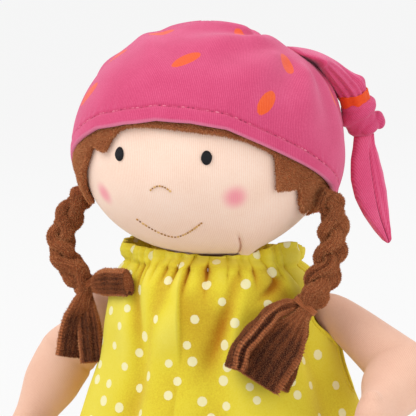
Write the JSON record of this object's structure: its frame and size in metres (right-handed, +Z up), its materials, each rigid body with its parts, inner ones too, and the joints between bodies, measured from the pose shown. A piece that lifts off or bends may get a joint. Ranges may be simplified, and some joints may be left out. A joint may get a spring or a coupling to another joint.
{
  "type": "soft doll",
  "caption": "Seated soft doll with plush braids, a knotted jersey cap and a gathered dress, with jointed neck, limbs, braids and a cap that pulls off.",
  "frame": {"origin": "middle of the flat under the seat of the body, on the floor", "axes": "+Z up, -Y the way the doll faces, +X towards the doll's left hand"},
  "size_m": [0.2117, 0.2268, 0.215],
  "materials": {
    "skin_jersey": "matte",
    "stuffing": "matte",
    "dress_cotton": "matte",
    "elastic": "matte",
    "hair_plush": "matte",
    "eye_thread": "satin",
    "brown_thread": "satin",
    "cap_jersey": "matte",
    "ribbon": "satin",
    "leggings": "matte"
  },
  "bodies": {
    "torso": {"body_skin": "skin_jersey", "body_filling": "stuffing", "dress": "dress_cotton", "neck_elastic": "elastic"},
    "neck": {"neck_plug": "stuffing"},
    "head": {"head_skin": "skin_jersey", "head_filling": "stuffing", "hair": "hair_plush", "eye_left": "eye_thread", "eye_right": "eye_thread", "nose_stitching": "brown_thread", "mouth_stitching": "brown_thread"},
    "cap": {"cap_crown": "cap_jersey", "cap_gather": "cap_jersey", "cap_band": "ribbon", "cap_knot": "cap_jersey"},
    "cap_tail": {"cap_tail_end": "cap_jersey"},
    "braid_left": {"braid_left_strip_1": "hair_plush", "braid_left_strip_2": "hair_plush", "braid_left_strip_3": "hair_plush", "braid_left_tie": "brown_thread"},
    "braid_right": {"braid_right_strip_1": "hair_plush", "braid_right_strip_2": "hair_plush", "braid_right_strip_3": "hair_plush", "braid_right_tie": "brown_thread"},
    "arm_left": {"upper_arm_left": "skin_jersey"},
    "arm_right": {"upper_arm_right": "skin_jersey"},
    "hand_left": {"forearm_left": "skin_jersey"},
    "hand_right": {"forearm_right": "skin_jersey"},
    "leg_left": {"thigh_left": "leggings"},
    "leg_right": {"thigh_right": "leggings"},
    "lower_leg_left": {"shin_left": "leggings", "foot_left": "skin_jersey"},
    "lower_leg_right": {"shin_right": "leggings", "foot_right": "skin_jersey"}
  },
  "joints": [
    {"name": "neck_turn", "type": "hinge", "parent": "torso", "child": "neck", "pos_m": [-0.002, -0.005, 0.104], "axis": [0, 0, 1], "range_deg": [-11, 11]},
    {"name": "head_nod", "type": "hinge", "parent": "neck", "child": "head", "pos_m": [-0.002, -0.005, 0.104], "axis": [1, 0, 0], "range_deg": [-8, 5]},
    {"name": "cap_pull", "type": "slide", "parent": "head", "child": "cap", "axis": [-0.0896, 0.515, 0.8525], "range_m": [0, 0.09]},
    {"name": "tail_swing", "type": "hinge", "parent": "cap", "child": "cap_tail", "pos_m": [0.06389, 0.0261, 0.16522], "axis": [-0.8829, -0.4695, 0], "range_deg": [-15, 35]},
    {"name": "braid_left_swing", "type": "hinge", "parent": "head", "child": "braid_left", "pos_m": [0.05824, -0.02072, 0.14403], "axis": [0, 1, 0], "range_deg": [-30, 0]},
    {"name": "braid_right_swing", "type": "hinge", "parent": "head", "child": "braid_right", "pos_m": [-0.06767, -0.00852, 0.1352], "axis": [0, -1, 0], "range_deg": [-30, 0]},
    {"name": "shoulder_left", "type": "hinge", "parent": "torso", "child": "arm_left", "pos_m": [0.05082, 0.002, 0.087], "axis": [0, -1, 0], "range_deg": [-5, 40]},
    {"name": "shoulder_right", "type": "hinge", "parent": "torso", "child": "arm_right", "pos_m": [-0.05082, 0.002, 0.087], "axis": [0, 1, 0], "range_deg": [-5, 40]},
    {"name": "elbow_left", "type": "hinge", "parent": "arm_left", "child": "hand_left", "pos_m": [0.08884, -0.00133, 0.06315], "axis": [-0.501, 0.2385, -0.8319], "range_deg": [-60, 15]},
    {"name": "elbow_right", "type": "hinge", "parent": "arm_right", "child": "hand_right", "pos_m": [-0.08427, 0.002, 0.05689], "axis": [-0.4894, -0.6819, 0.5435], "range_deg": [-45, 40]},
    {"name": "hip_left", "type": "hinge", "parent": "torso", "child": "leg_left", "pos_m": [0.022, -0.04205, 0.014], "axis": [1, 0, 0], "range_deg": [0, 85]},
    {"name": "hip_right", "type": "hinge", "parent": "torso", "child": "leg_right", "pos_m": [-0.022, -0.04205, 0.014], "axis": [1, 0, 0], "range_deg": [0, 85]},
    {"name": "knee_left", "type": "hinge", "parent": "leg_left", "child": "lower_leg_left", "pos_m": [0.0248, -0.09796, 0.0125], "axis": [1, 0, 0], "range_deg": [0, 60]},
    {"name": "knee_right", "type": "hinge", "parent": "leg_right", "child": "lower_leg_right", "pos_m": [-0.0248, -0.09796, 0.0125], "axis": [1, 0, 0], "range_deg": [0, 60]}
  ]
}
